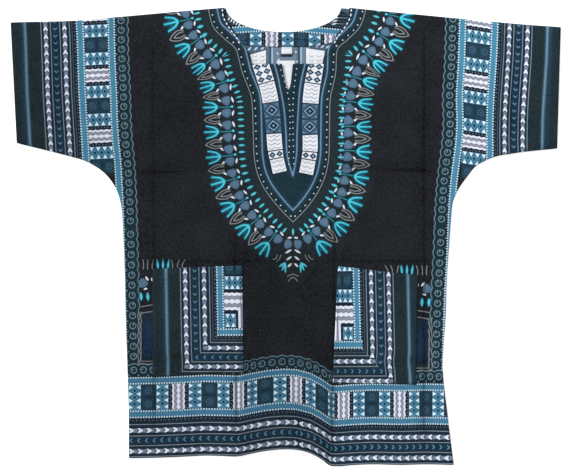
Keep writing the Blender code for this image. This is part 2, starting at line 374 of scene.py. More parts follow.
# What follows what along a ladder: block, length
ladderBlocks = (
    ("triangles", 23.4), ("darkBlock", 25.4), ("triangles", 23.4), ("divider", 4.8), ("waves", 24.8),
    ("divider", 4.8),
)


def twiceArea(x, y):
    return np.dot(x, np.roll(y, -1)) - np.dot(y, np.roll(x, -1))


class Paint:
    # shapes printed on one face of a piece, later ones over earlier ones
    def __init__(self, ground):
        self.ground = inks[ground]
        self.shapes = []

    def fill(self, x, y, ink):
        x, y = np.broadcast_arrays(x, y)
        points = np.column_stack([x, y])
        self.shapes.append((points if twiceArea(x, y) > 0 else points[::-1], colourOf(ink)))

    def lay(self, shape, ink):
        self.fill(*shape.T, ink)

    def box(self, x0, x1, y0, y1, ink):
        self.fill(np.array([x0, x1, x1, x0]), np.array([y0, y0, y1, y1]), ink)

    def leaf(self, base, tip, width, ink):
        self.lay(leafShape(base, tip, width), ink)

    def brush(self, points, width, step=3, ink="outline"):
        self.lay(strokeShape(points, width, step), ink)

    def between(self, at, one, other, ink):
        # the cloth between two lines, each given as its runs and its sides
        runs, sides = (np.concatenate([a, b[::-1]]) for a, b in zip(one, other))
        self.fill(*at(runs, sides), ink)

    def stamp(self, at, runs, side, shape, ink, heading=1):
        for run in np.atleast_1d(runs):
            self.fill(*at(run + heading * shape[:, 0], side + shape[:, 1]), ink)

    def strip(self, at, start, stop, low, high, ink, step=9.0):
        runs = np.linspace(start, stop, max(2, int(abs(stop - start) / step) + 1))
        self.between(at, (runs, np.full(len(runs), low)), (runs, np.full(len(runs), high)), ink)

    def field(self, at, start, stop, middle, width, ink, **_):
        self.strip(at, start, stop, middle - width / 2, middle + width / 2, ink)

    line = field

    def arrows(self, at, start, stop, middle, width, ink, heading=1, clear=5.0, arrowPitch=14.8, **_):
        self.strip(at, start, stop, middle - band["arrows"], middle + band["arrows"], "navy")
        first, last = (start, stop) if heading > 0 else (stop, start)
        runs = np.arange(first + heading * clear, last, heading * arrowPitch)
        for shape, tint in (("tail", "tail"), ("notch", "notch"), ("head", ink)):
            self.stamp(at, runs, middle, motifs[shape] * (width / 8.2), tint, heading)

    def chevrons(self, at, start, stop, middle, width, ink, heading=1, chevronPitch=13.6, **_):
        self.strip(at, start, stop, middle - band["chevrons"], middle + band["chevrons"], "dimField")
        runs = np.arange(start + 7, stop, chevronPitch)
        self.stamp(at, runs, middle, motifs["chevron"] * (width / 8.2), ink, -heading)

    def speckles(self, at, start, stop, middle, width, ink, **_):
        self.stamp(at, np.arange(start + 2, stop, band["specklePitch"]), middle, motifs["speckle"], ink)

    def teal(self, at, start, stop, middle, width, ink, **_):
        low, high = middle - width / 2, middle + width / 2
        self.strip(at, start, stop, low - 1.6, high + 1.6, "navyDark")
        self.strip(at, start, stop, low + 0.3, high - 0.3, ink)
        for side in (low, high):
            self.stamp(at, np.arange(start + 1, stop, band["dotPitch"]), side, motifs["dot"], "dot")

    def ladder(self, at, start, stop, middle, width, ink, origin=0.0, scale=1.0, **_):
        low, high = middle - width / 2, middle + width / 2
        self.strip(at, start, stop, low, high, "divider")
        period = scale * sum(length for _, length in ladderBlocks)
        run = origin - period * math.ceil((origin - start) / period)
        while run < stop:
            for block, length in ladderBlocks:
                length *= scale
                if run + length > start + 0.5 and run < stop:
                    getattr(self, block)(at, run, run + length, low, high)
                run += length

    def divider(self, at, a, b, low, high):
        for side in np.arange(low + 3, high - 1, 5.6):
            self.stamp(at, (a + b) / 2, side, motifs["speckle"], "speckle")

    def triangles(self, at, a, b, low, high):
        a, b, middle = a + 0.7, b - 0.7, (a + b) / 2
        self.strip(at, a, b, low, high, "tileLight")
        count = max(1, round((high - low) / 10.9))
        pitch = (high - low) / count
        reach = (b - a) / 2 - 0.4
        tile, light = (reach, pitch / 2), (reach - 2.2, pitch / 2 - 1.05)
        for k in range(1, count):
            for size, tint in ((tile, "tile"), (light, "tileLight"), ((3.3, 2.3), "tileEye")):
                self.stamp(at, middle, low + k * pitch, motifs["lozenge"] * size, tint)
        tooth = np.array([(0.9, -1), (7.9, 0), (0.9, 1)]) * (1, min(3.7, 0.37 * pitch))
        for k in range(count):
            for edge, way in ((a, 1), (b, -1)):
                self.stamp(at, edge, low + (k + 0.5) * pitch, tooth, "triangle", way)

    def darkBlock(self, at, a, b, low, high):
        self.strip(at, a, b, low, high, "darkTile")
        half = (high - low) / 4
        for centre in (low + half, high - half):
            self.strip(at, a + 2.6, b - 2.6, centre - half + 2.2, centre + half - 2.2, "darkSquare")
            for radius, tint in ((6.2, "darkRing"), (4.4, "darkSquare"), (1.8, "darkRing")):
                self.stamp(at, (a + b) / 2, centre, ringShape(radius, 8), tint)
        for edge in (a + 1.2, b - 1.2):
            for side in np.arange(low + 2, high - 1, 5.2):
                self.stamp(at, edge, side, motifs["speckle"] * 0.8, "darkRing")

    def waves(self, at, a, b, low, high):
        side = np.linspace(low, high, 4 * max(2, round((high - low) / 9.6)) + 1)
        turn = (side - low) / 9.6 * 2 * math.pi
        scallop = 1.8 * np.abs(np.sin(turn / 2))
        self.between(at, (a + 2.4 - scallop, side), (b - 2.4 + scallop, side), "waveWhite")
        size, swell = (b - a) / 24.8, np.cos(turn)
        for share, way in ((0.3, -1), (0.7, 1)):
            centre = a + share * (b - a)
            inner = centre - way * (2.7 * size + 1.3 * swell)
            outer = centre + way * (2.9 * size - 0.8 * swell)
            self.between(at, (inner, side), (outer, side), "waveGrey")

    def scroll(self, at, start, stop, middle, width, ink, ringPitch=16.7, **_):
        self.strip(at, start, stop, middle - 10, middle + 11.5, "scrollField")
        runs = np.arange(start + 8.3, stop - 5, ringPitch)
        self.stamp(at, runs, middle, motifs["snail"] * (width / 13.3), ink)
        self.stamp(at, runs - 8.3, middle - 9, motifs["nub"], ink)

    def wave(self, at, start, stop, middle, width, ink, ringPitch=16.7, **_):
        runs = np.linspace(start, stop, int((stop - start) / 2.8) + 2)
        side = middle - 0.4 + 3 * np.abs(np.cos((runs - start - 8.3) / ringPitch * math.pi))
        self.between(at, (runs, side - width / 2), (runs, side + width / 2), ink)

    def streak(self, at, start, stop, middle, width, ink, field="green", glow="glow", **_):
        for t, colour in softInks(field, ink, glow):
            self.strip(at, start, stop, middle + t * width, middle + 1.8 * width, colour, 12)

    def rows(self, at, start, stop, table, mitre=False, **how):
        for kind, middle, width, ink in table:
            half = width / 2 + 1.5 if kind == "teal" else band.get(kind, width / 2)
            begin = start + (middle - half if mitre else 0)
            getattr(self, kind)(at, begin, stop, middle, width, ink, **how)


def arrowRows(places, arrows, chevrons):
    # two rows of arrows with chevrons between them, and the lines beside each
    widths = {"line": 1.5, "arrows": arrows, "chevrons": chevrons}
    tints = {"line": "line", "arrows": "white", "chevrons": "dim"}
    kinds = ("line", "arrows", "line", "chevrons", "line", "arrows", "line")
    return [(kind, place, widths[kind], tints[kind]) for kind, place in zip(kinds, places)]


# Bands across the cloth: kind, distance from the edge, width, ink
hemRows = (
    ("field", 40, 90, "navyDark"),
    *arrowRows((2.1, 11.6, 21.2, 30.4, 38.4, 47.8, 58.3), 8.2, 8.2),
)
hemBorderRows = (
    ("speckles", 65.5, 1.6, "speckle"),
    ("ladder", 106, 46.5, "divider"),
    ("teal", 76.2, 11, "tealHem"),
    ("teal", 134.9, 10.5, "tealHem"),
    ("scroll", 153.7, 13.3, "scroll"),
    ("wave", 162.2, 1.8, "scroll"),
)
sleeveRows = (
    ("field", 22, 64, "green"),
    ("streak", 25, 4.4, "streak"),
    ("field", 84.5, 66, "navyDark"),
    *arrowRows((53.4, 61.4, 70, 77.9, 86.3, 94.5, 103.2), 7.4, 7.2),
    ("line", 107.6, 1.1, "lineDim"),
    ("speckles", 112, 1.6, "speckle"),
)
sleeveLadder = (("ladder", 149.6, 46, "divider"),)
sleeveTeal = (("teal", 121.4, 11, "teal"),)
sideTeal = (("teal", -17.2, 10.5, "teal"),)
sideRows = (("scroll", 0, 13.3, "scroll"), ("wave", 10.2, 1.8, "scroll"))
pocketRows = (
    ("field", 36, 74, "navyDark"),
    *arrowRows((0, 8.4, 16.8, 24.8, 32.6, 41.2, 50.6), 7.4, 7),
    ("line", 55.4, 1.1, "lineDim"),
    ("speckles", 60, 1.6, "speckle"),
    ("teal", 68.9, 10.5, "teal"),
)

sideLines = {
    "left": (
        (-288, 378.5), (-286.4, 304), (-284, 254), (-282.5, 205), (-280.4, 171), (-276.9, 136),
        (-273.8, 85), (-270.4, -23.1), (-267.8, -135.1), (-265.6, -221),
    ),
    "right": (
        (292.4, 381.2), (289.6, 295), (286.6, 245), (287.6, 197), (285.3, 164), (280.8, 129),
        (276.6, 94), (274.1, 62), (270.4, -23.1), (265.8, -110.6), (262, -226),
    ),
}
ringTurn = 366  # below this the rings lie further apart
# Along the hem the folds draw the print together: distance on the print, x on the cloth
hemStretch = np.array((
    (-20, -295.6), (0, -275.6), (48.6, -227.2), (106.6, -170.6), (155.2, -120.2), (184.4, -92),
    (213.2, -67.8), (236.8, -49), (285.4, 2.3), (319.8, 34), (368.4, 73.5), (392, 85.4),
    (426.4, 117.3), (475, 162.2), (533, 214.7), (581.6, 255.5), (605.2, 277.7), (640, 312.5),
))
hemEnds = (-15, 630)
hemTurn = 305.2  # the arrows run towards this place from both ends


def hemAt(run, side):
    x = np.interp(run, *hemStretch.T)
    return x, np.interp(x, *np.array(hem).T) + side


# The ornament round the neck: y, middle, half width of its outer line
yokeShape = (
    (440, 2.5, 150), (397.4, 2.5, 138.5), (365.4, 1.5, 128), (345, 1.5, 108.5),
    (327.4, 1.8, 89.5), (308, 3.6, 85.6), (287.2, 5.8, 82.4), (267, 7.7, 76.5),
    (246.9, 9, 70.5), (225, 9.5, 68.4), (202.7, 9.7, 67.8), (170, 10, 67.2),
    (139.7, 10.2, 66), (112, 10.4, 61), (87.2, 11, 51), (65.5, 12.2, 37),
    (44.3, 12.8, 19.6), (25.2, 12.8, 0.4),
)
# The inner line beside the slit
innerShape = (
    (320, 6, 33), (302, 7, 27), (257, 7.8, 17), (224, 9.6, 12.8),
    (182, 10.2, 9.9), (140, 10.8, 8), (106.8, 12.4, 0.4),
)
# The ring of motifs outside it, which the cloth pulls in on the right: y, left x, right x
ringPath = (
    (415, -184.5, 196), (393, -181.5, 193), (362, -173.5, 183), (330, -153.2, 162.5),
    (299, -128.4, 136), (257, -112.9, 121.5), (204, -108.8, 115.5), (152, -105.4, 115),
    (99, -96.8, 109), (57, -79.5, 97), (22, -53.2, 72.5), (-3, -25.2, 48),
    (-17, -1.2, 26.5), (-20.5, 12.8, 12.8),
)
yoke = {"motifPitch": 42.6, "dashPitch": 11.2, "dashSide": 20.0, "dotPitch": 13.2, "ropeInset": 15.6}


def yokeSide(shape, sign, step=3.5):
    return rounded([(middle + sign * half, y) for y, middle, half in shape], step)


def yokeEdge(shape, inset):
    # the line moved inwards, cut where its two sides meet
    sides = []
    levels = np.array(shape)[::-1]
    for sign in (-1, 1):
        line = yokeSide(shape, sign)
        heading = unit(np.gradient(line, axis=0))
        moved = line + inset * sign * np.column_stack([heading[:, 1], -heading[:, 0]])
        middle = np.interp(moved[:, 1], levels[:, 0], levels[:, 1])
        sides.append(moved[(moved[:, 0] - middle) * sign > 0.2])
    left, right = sides
    gap = np.linalg.norm(right[-1] - left[-1])
    tip = (left[-1] + right[-1]) / 2 - (0, gap * 0.55)
    return np.vstack([left, [tip], right[::-1]])


def nested(paint, shape, levels):
    for inset, ink in levels:
        paint.lay(yokeEdge(shape, inset), ink)


def softLine(field, ink, middle, width, under):
    # nested edges that make a rope of pale light in the cloth's blue
    levels = [(middle + t * width, colour) for t, colour in softInks(field, ink)]
    return levels + [(middle + 1.7 * width, under)]


def sprayShapes():
    # three leaves, growing outwards
    sides = [[(way * 0.8, 10), (way * 6.5, 16), (way * 9, 23), (way * 10.6, 31)] for way in (-1, 1)]
    return [strokeShape(line, 3.4, 3, taper=0.45) for line in ([(0, 9), (0, 20), (0, 35)], *sides)]


def archShapes():
    # a pointed arch drawn with a thin line, with a smaller one inside
    made = []
    for size in (1, 0.48):
        for way in (-1, 1):
            curve = [(0, 34), (5.4, 24), (7.4, 14), (5, 5)]
            scaled = [(way * x * size, 8 + (y - 8) * (0.4 + 0.6 * size)) for x, y in curve]
            made.append(strokeShape(scaled, 1.6, 3))
    return made


def stoneShape():
    turn = np.linspace(0, 2 * math.pi, 12, endpoint=False)
    swell = 1 + 0.12 * np.cos(3 * turn + 0.6)
    return np.column_stack([8 * swell * np.cos(turn), 8.2 * swell * np.sin(turn)])


def paintRing(paint):
    # sprays and arches by turns, round stones and small leaves beneath them
    left = [(x, y) for y, x, _ in ringPath]
    right = [(x, y) for y, _, x in ringPath]
    at, length = lane(left + right[-2::-1], 5, True)
    bottom = lane(left, 5)[1]
    stem = strokeShape([(0, -15), (0.8, -3), (0, 11)], 1.8)
    cup = [(9, 13), (13.6, 32), (9, 33), (4.6, 24), (2.6, 36)]
    cup = np.array([(0, 6), *cup, *[(-x, y) for x, y in cup[::-1]]])
    stone, pitch = stoneShape(), yoke["motifPitch"]
    count = int(length / 2 / pitch) + 1
    for k in range(-count, count + 1):
        run = bottom + k * pitch
        mate = run + pitch / 2
        for way in (-1, 1):
            spot = run + way * pitch / 4
            for size, ink in ((1.16, "blockDark"), (1, "seed"), (0.55, "seedCore")):
                paint.stamp(at, spot, -6, stone * size, ink)
            paint.stamp(at, spot, 0, leafShape((-way * 4.5, -19), (way * 6, -15.6), 3.5), "white")
            if k not in (-1, 0):
                paint.stamp(at, mate, 0, leafShape((way * 13, 0.5), (way * 7, 9.5), 3.5), "white")
        if k:
            paint.stamp(at, run, 0, stem, "stem")
            paint.stamp(at, run, -16, ringShape(2.4), "turquoise")
            paint.stamp(at, run, 0, cup, "turquoiseDeep")
            for leaf in sprayShapes():
                paint.stamp(at, run, 0, leaf, "turquoise")
        if k not in (-1, 0):
            for arch in archShapes():
                paint.stamp(at, mate, 0, arch, "outline")


def yokeLane(sign, outwards):
    return lane(yokeSide(yokeShape, sign, 6), 6, sign * outwards < 0)


def paintDashes(paint, tipRoom=0.8):
    for sign in (-1, 1):
        at, length = yokeLane(sign, 1)
        for run in np.arange(length - tipRoom, 0, -yoke["dashPitch"]):
            paint.stamp(at, run, yoke["dashSide"], leafShape((0, -6.6), (0, 6.6), 6.4), "turquoiseDeep")
            paint.stamp(at, run, yoke["dashSide"], leafShape((0, -6), (0, 6.2), 3.4), "dash")
    paint.leaf((12.8, 15), (12.8, 2), 4, "dash")


def zigzagBlock(paint, at, start, stop, half):
    paint.strip(at, start, stop, -half, half, "blockWhite")
    rows = max(2, round((stop - start) / 7.4))
    pitch = (stop - start) / rows
    for k in range(rows):
        runs = start + (k + 0.55) * pitch + np.array((-1, 1, -1, 1, -1)) * 1.6
        sides = np.array((-0.84, -0.42, 0, 0.42, 0.84)) * half
        paint.between(at, (runs - 0.75, sides), (runs + 0.75, sides), "blockGrey")


def boldBlock(paint, at, start, stop, half):
    # dark lozenges with pale cores between white teeth
    paint.strip(at, start, stop, -half, half, "blockWhite")
    rows = max(1, round((stop - start) / 11.5))
    pitch = (stop - start) / rows
    for k in range(rows):
        for side in (-half / 2, half / 2):
            for wide, tall, ink in ((0.3, 0.3, "blockDark"), (3.2, 3.6, "blockPale")):
                shape = motifs["lozenge"] * (pitch / 2 - wide, half / 2 - tall)
                paint.stamp(at, start + (k + 0.5) * pitch, side, shape, ink)


def stoneBlock(paint, at, start, stop, half):
    paint.strip(at, start, stop, -half, half, "blockBlue")
    middle, reach = (start + stop) / 2, (stop - start) / 2
    for inset, ink in ((0, "blockDark"), (2.6, "blockPale"), (5.6, "blockDark")):
        paint.stamp(at, middle, 0, motifs["lozenge"] * (reach - inset, half - inset), ink)
    paint.stamp(at, middle, 0, motifs["lozenge"] * 2.4, "blockPale")
    for way in (-1, 1):
        for side in (-1, 1):
            paint.stamp(at, middle + way * (reach - 3), side * (half - 3), ringShape(1.5, 5), "blockPale")


# Down each side of the slit: block, room, half width; and the line that their middles follow
yokeBlocks = (
    (boldBlock, 37, 14.2), (zigzagBlock, 36, 13.8), (stoneBlock, 27, 13.6), (stoneBlock, 27, 13.4),
    (zigzagBlock, 30, 13), (boldBlock, 14, 12.6), (zigzagBlock, 26, 12.2),
)
blockShape = ((306, 3.8, 49), (255, 7.6, 37.6), (204, 9.7, 32), (152, 12.2, 30.4), (100, 13, 20.5))


def paintYoke(paint):
    for inset, share in ((-84, 0.25), (-68, 0.5), (-32, 0.75), (-14, 1)):
        nested(paint, yokeShape, [(inset, blend("ground", "haze", share))])
    paintRing(paint)
    paintDashes(paint)
    rope = yoke["ropeInset"]
    levels = [(-1.6, "ground"), (0, "line"), (1.5, "green"), (8.6, "strip")]
    levels += softLine("strip", "rope", rope, 2.2, "glow") + [(rope + 5.4, "navy")]
    nested(paint, yokeShape, levels)
    for sign in (-1, 1):
        at, length = yokeLane(sign, -1)
        paint.stamp(at, np.arange(length - 10, 0, -yoke["dotPitch"]), 5.6, ringShape(1.25), "dot")
    # the plain shield under the blocks
    edge = yokeEdge(yokeShape, 21.4)
    low = edge[edge[:, 1] < 100]
    for share, rise in ((0.3, 6), (0.6, 2), (1, -2)):
        top = [(40, 104 + rise), (12.4, 108 + rise), (-14, 104 + rise)]
        crown = rounded([(low[-1][0], 100), *top, (low[0][0], 100)], 6)
        paint.lay(np.vstack([low, crown]), blend("navy", "shield", share))
    for sign in (-1, 1):
        at, _ = lane([(middle + sign * half, y) for y, middle, half in blockShape], 6, sign > 0)
        start = 2
        for block, room, half in yokeBlocks:
            block(paint, at, start, start + room - 2, half)
            start += room
    nested(paint, innerShape, [(-6.2, "navy")] + softLine("navy", "rope", 0, 2.2, "strip"))
    for points in (((-12.5, 303), (3.2, 252), (5.6, 125)), ((20.5, 306), (14, 252), (14, 125))):
        at, length = lane(points)
        paint.stamp(at, np.arange(2, length, 10.4), 0, ringShape(1.1), "white")
    paintPendant(paint, 12.8)


def paintPendant(paint, x):
    # leaves and curls that hang from the tip of the yoke
    for way in (-1, 1):
        for y, reach in ((-29, 14), (-41, 12), (-53, 9.5)):
            paint.leaf((x + way * 2, y + 7), (x + way * reach, y), 3.6, "white")
        for across, y in ((25, -53), (20, -60), (13.5, -64)):
            paint.leaf((x + way * 13, -44), (x + way * across, y), 3.6, "turquoise")
        for shift in (0, 6.5):
            curl = ((21 + shift, -31), (23.5 + shift, -38), (29 + shift, -44 + shift * 0.7))
            paint.brush([(x + way * across, y) for across, y in curl], 1.4)
        for reach, drop in ((10, -69), (8, -78)):
            fall = drop + 69
            curl = ((0, -65 + fall * 0.6), (4, -66.5 + fall * 0.7), (reach, drop))
            paint.brush([(x + way * across, y) for across, y in curl], 1.4)


# How the print lies on each sleeve: off its straight place (share of the cuff from the shoulder, mm),
# out of square, drawn together, and where its arrows and its ladder begin
sleeves = {
    "left": {
        "pull": ((0, -1.2), (0.15, -1.1), (0.6, -2.9), (0.85, -2.6), (1, -2.2)),
        "skew": 0,
        "scale": 1,
        "clear": 13.5,
        "first": 10.5,
    },
    "right": {
        "pull": ((0, -1.6), (0.2, -1.4), (0.36, 0), (0.55, 1.6), (0.7, 2.4), (0.9, 1.8), (1, 0.6)),
        "skew": 0.13,
        "scale": 0.962,
        "clear": 3.1,
        "first": 10,
    },
}
squareAt = 148.5  # from the cuff; the skewed print is in its place here


def sleeveLane(side):
    sleeve = sleeves[side]
    at, length = lane(cuffs[side], 40, side == "right")
    shares, shifts = zip(*sleeve["pull"])

    def pulled(run, across):
        across = across + np.interp(run / length, shares, shifts)
        return at(run - sleeve["skew"] * (across - squareAt), across * sleeve["scale"])

    return pulled, length


def paintBorders(paint):
    for side, sleeve in sleeves.items():
        cuff, length = sleeveLane(side)
        beside, down = lane(sideLines[side], 10, side == "right")
        how = {"heading": -1, "clear": sleeve["clear"], "arrowPitch": 14.3, "chevronPitch": 12.5}
        paint.rows(cuff, -30, length + 60, sleeveRows, **how)
        paint.rows(cuff, -40, length + 60, sleeveLadder, origin=sleeve["first"])
        paint.rows(cuff, -30, length + 60, sleeveTeal)
        paint.rows(beside, -8, ringTurn, sideRows)
        paint.rows(beside, ringTurn, down + 8, sideRows, ringPitch=17.8)
        paint.rows(beside, -8, down + 8, sideTeal)
    first, last = hemEnds
    paint.rows(hemAt, first, hemTurn, hemRows, arrowPitch=15.6)
    paint.rows(hemAt, hemTurn, last, hemRows, heading=-1, arrowPitch=15.6)
    paint.rows(hemAt, first, last, hemBorderRows)


# Beside each pocket: way to the pocket, field's two sides, its top and bottom
cornerFields = ((1, -251.5, -222, -131, -216), (-1, 249, 222, -141, -228))


def paintCornerField(paint, way, outer, inner, top, bottom):
    for t in np.linspace(0, 1, 8):
        ink = blend("fieldEdge", "fieldBlue", t)
        paint.box(outer + way * 7 * t, inner - way * 3 * t, bottom + 10 * t, top - 26 * t, ink)
    for y in (top + 11.5, top):
        paint.brush([(outer - 2 * way, y - 3), ((outer + inner) / 2, y), (inner, y + 1)], 1.5, 6)
    for shift in (-1.5, -6.5):
        down = np.linspace(top, bottom + shift, 12)
        edge = outer + way * (shift + 0.9 * np.sin(down / 2.7))
        paint.brush(np.column_stack([edge, down]), 1.3, 4)
        paint.brush([(outer + way * shift, bottom + shift), (inner, bottom + shift)], 1.3, 8)
    # a stone and a few leaves above the field
    x = outer + way * 2
    paint.lay(stoneShape() + (x, top + 50), "seed")
    for shift in (-3, 9):
        for ink, more in (("turquoiseDeep", 1.6), ("turquoise", 0)):
            tip = (x + way * (shift - 1), top + 34 + more)
            paint.leaf((x + way * shift, top + 19 - more), tip, 5 + 2 * more, ink)
    for ax, ay, bx, by, width in ((4, 62, 10, 54, 3.8), (1, 39, 8, 41, 3.6), (15, 60, 17, 52, 3.8)):
        paint.leaf((x + way * ax, top + ay), (x + way * bx, top + by), width, "white")
    # strokes over the mouth of the pocket
    mouth = top + 76
    for across, lean in ((0.8, 1), (8, -1), (16.5, -2), (51.5, 2), (61, -3), (69.5, -4)):
        curve = ((across, -2), (across + lean * 0.2, 6), (across - lean, 15))
        paint.brush([(x + way * a, mouth + up) for a, up in curve], 1.6, 4)
    for across, lean in ((27, 2.4), (35, 0), (43, -2.4)):
        for ink, more in (("turquoiseDeep", 1.4), ("turquoise", 0)):
            tip = (x + way * (across - lean), mouth + 16 + more)
            paint.leaf((x + way * across, mouth - 3), tip, 3.4 + 2 * more, ink)


def neckDashes(paint):
    for way in (-1, 1):
        at, length = lane(neckSide(way, 6), 5, way < 0)
        paint.stamp(at, np.arange(4, length, 7.8), 3.4, ringShape(2.7) * (1, 0.45), "white")


def facePaint(front):
    paint = Paint("ground")
    paintBorders(paint)
    for place in cornerFields:
        paintCornerField(paint, *place)
    paintYoke(paint)
    if front:
        neckDashes(paint)
    return paint


# Pockets: corners from the mouth's outer end round, where their bands turn, top of the triangles, then
# how the print is stretched, leans and kinks, and the arrows' pitch down the side and along the bottom
pockets = {
    "left": {
        "corners": ((-232.9, -56), (-232, -245.4), (-73.7, -235.7), (-76.3, -50.1)),
        "turn": (-181, -235.2),
        "blockTop": -68,
        "way": 1,
        "stretch": (1, 1),
        "lean": -0.018,
        "streak": -25.6,
        "kink": 0.9,
        "arrowPitch": (15.7, 15.8),
    },
    "right": {
        "corners": ((231.5, -67.4), (227.5, -258.5), (82.3, -254), (91.2, -51.1)),
        "turn": (191.6, -260.8),
        "blockTop": -91,
        "way": -1,
        "stretch": (0.932, 1.05),
        "lean": 0.022,
        "streak": -28.4,
        "kink": -2.2,
        "arrowPitch": (15.3, 14.6),
    },
}


def pocketPaint(pocket):
    paint = Paint("green")
    (cx, cy), way, blockTop = pocket["turn"], pocket["way"], pocket["blockTop"]
    wide, tall = pocket["stretch"]

    def slanted(y, side):
        # the crease across the pocket pulls the print sideways
        kink = pocket["kink"] * np.exp(-(((y + 219) / 11) ** 2))
        return cx + way * (side * wide + pocket["lean"] * (y - cy)) + kink, y + 0 * side

    def upright(run, side):
        return slanted(cy + tall * run, side)

    def level(run, side):
        return cx + way * run * wide, cy + side * tall + 0 * run

    def down(run, side):
        return slanted(blockTop - run, side)

    paint.strip(upright, -30, (-136 - cy) / tall, -62, -50 * wide, "fieldBlue")
    paint.rows(upright, -30, 220, [("streak", pocket["streak"], 4.6, "streak")], glow="pocketGlow")
    for at, stop, rows, clear, pitch in (
        (upright, 220, pocketRows, 14.2, pocket["arrowPitch"][0]),
        (level, 130, pocketRows[1:], 13.2, pocket["arrowPitch"][1]),
    ):
        paint.rows(at, 0, stop, rows, mitre=True, clear=clear, arrowPitch=pitch)
    floor = blockTop - (cy + 75 * tall)
    low, high = 76.0, 114.4
    paint.strip(down, -60, floor, low - 0.5, high + 4, "divider")
    paint.triangles(down, -56, -30, low, high)
    paint.darkBlock(down, -28.5, -2, low, high)
    paint.triangles(down, 0, 24.5, low, high)
    # a white block that turns down at its inner end, round a last tile
    paint.strip(down, 46, floor + 4, 100, 118, "waveWhite")
    paint.waves(down, 28.5, 61, 75, 118)
    paint.strip(down, 50, floor + 4, 104, 107.6, "waveGrey")
    paint.triangles(down, 65.5, floor - 1.5, 76.5, 96)
    paint.rows(upright, 0, 220, pocketRows[-1:], mitre=True)
    paint.rows(level, 0, 130, pocketRows[-1:], mitre=True)
    return paint


def facingPaint():
    paint = Paint("navyDark")
    base = np.array([(-100, 330.5), (-90, 331.5), (-43, 334.5), (26, 334), (85, 328.5), (100, 327)])

    def at(run, side):
        return run, np.interp(run, base[:, 0], base[:, 1]) + side

    dim, bright = ("line", 1.2, "lineDim"), ("line", 1.4, "line")
    lines = ((40.5, dim), (45, bright), (50, dim), (55.5, bright), (61, dim))
    rows = [(kind, place, width, ink) for place, (kind, width, ink) in lines]
    rows += [("ladder", 11, 27, "divider"), ("teal", 30, 9.6, "teal")]
    paint.rows(at, -135, 125, rows, origin=-7.7, scale=0.965)
    for x in np.arange(-101, -82, 4.6):
        drop = (x + 101) * 0.6
        paint.leaf((x, 378 - drop), (x + 3.4, 385 - drop), 2.6, "white")
    for k in range(6):
        paint.leaf((80 + 1.2 * k, 371 + 5.2 * k), (90 + 1.2 * k, 373.5 + 5.2 * k), 2.6, "white")
    return paint


def insidePaint():
    # the inside of the back, where the print shows through paler
    paint = Paint("reverseDark")
    paint.box(-120, 120, 240, 345, "reverseDark")
    paint.box(-36, 42, 270, 345, "reverse")

    def straight(run, side):
        return side + 0 * run, 345 - run

    for x in (-24, 26.5):
        paint.rows(straight, 0, 80, [("streak", x, 3, "reversePale")], field="reverse")
    for x in (-34, 36):
        paint.box(x - 2.2, x + 2.2, 270, 330, "reverseDark")
    for corners in (
        ((-62, 318.5), (-58, 296), (-34.5, 296), (-34.5, 326.5)),
        ((35.5, 330), (35.5, 296), (68, 296), (68, 325)),
    ):
        paint.lay(np.array(corners), "reverseWhite")
    for y in (301, 308.2, 315.4):
        for middle in (-47, 52):
            for x in (middle - 6.5, middle + 6.5):
                paint.brush([(x - 4, y + 2), (x, y - 1.2), (x + 4, y + 2)], 1.1, ink="blockGrey")
    for k in range(5):
        paint.leaf((-92 + k * 12, 322 + k * 1.2), (-84 + k * 12, 330 + k), 3.8, "reversePale")
        paint.leaf((52 + k * 9, 331 - k * 0.8), (59 + k * 9, 337 - k), 3.4, "reversePale")
    for place in ((-14.3, 320.6), (18, 323.4), (19.8, 306.6), (-12, 310)):
        paint.lay(ringShape(1.5) + place, "reverseWhite")
    paint.box(-9, 11.5, 314.6, 320.4, "shadow")
    insert = ((-15.5, 308.2), (16, 308.2), (15, 290), (9, 252), (-1.5, 252), (-8.5, 290), (-15.5, 298))
    paint.lay(np.array(insert), "reverseWhite")
    return paint


print("print laid out")


# Cloth shells: the print's triangles on top, a plain or printed underside, rounded edges
def triangulated(outline, paint, lattice):
    points, faces, colours = [], [], []
    for shape, colour in [(outline, paint.ground), *paint.shapes]:
        faces.append(list(range(len(points), len(points) + len(shape))))
        points.extend(shape.tolist())
        colours.append(colour)
    low, high = outline.min(axis=0), outline.max(axis=0)
    across = np.arange(low[0] + lattice / 2, high[0], lattice)
    for row, y in enumerate(np.arange(low[1] + lattice / 2, high[1], lattice)):
        shift = lattice / 4 * (-1) ** row
        points.extend((x + shift, y) for x in across)
    for depth in (1.3, 3.6):
        points.extend((outline - outwardOf(outline) * depth).tolist())
    if lattice < 8:
        points.extend(creasePoints())
    places, _, tris, _, _, owners = delaunay_2d_cdt([Vector(p) for p in points], [], faces, 1, 1e-3, True)
    places = np.array([tuple(p) for p in places])
    kept = [(tri, max(owner)) for tri, owner in zip(tris, owners) if 0 in owner]
    tris = np.array([tri for tri, _ in kept])
    used, index = np.unique(tris, return_inverse=True)
    tris = index.reshape(tris.shape)
    places = places[used]
    a, b, c = (places[tris[:, k]] for k in range(3))
    turn = (b[:, 0] - a[:, 0]) * (c[:, 1] - a[:, 1]) - (b[:, 1] - a[:, 1]) * (c[:, 0] - a[:, 0])
    tris[turn < 0] = tris[turn < 0][:, ::-1]
    return places, tris, np.array(colours)[[top for _, top in kept]], loopOf(places, tris)


def creasePoints():
    # closer together across the sharp folds
    made = []
    for a, b, _, _ in sharpFolds:
        length, ux, uy = toward(a, b)
        for off in (-8, -5.6, -3.4, -1.6, 0.4, 2.6, 5):
            side = off if abs(uy) > abs(ux) else -off
            for run in np.arange(0, length, 5.0) + off % 2:
                made.append((a[0] + ux * run + abs(uy) * side, a[1] + uy * run + abs(ux) * side))
    return made


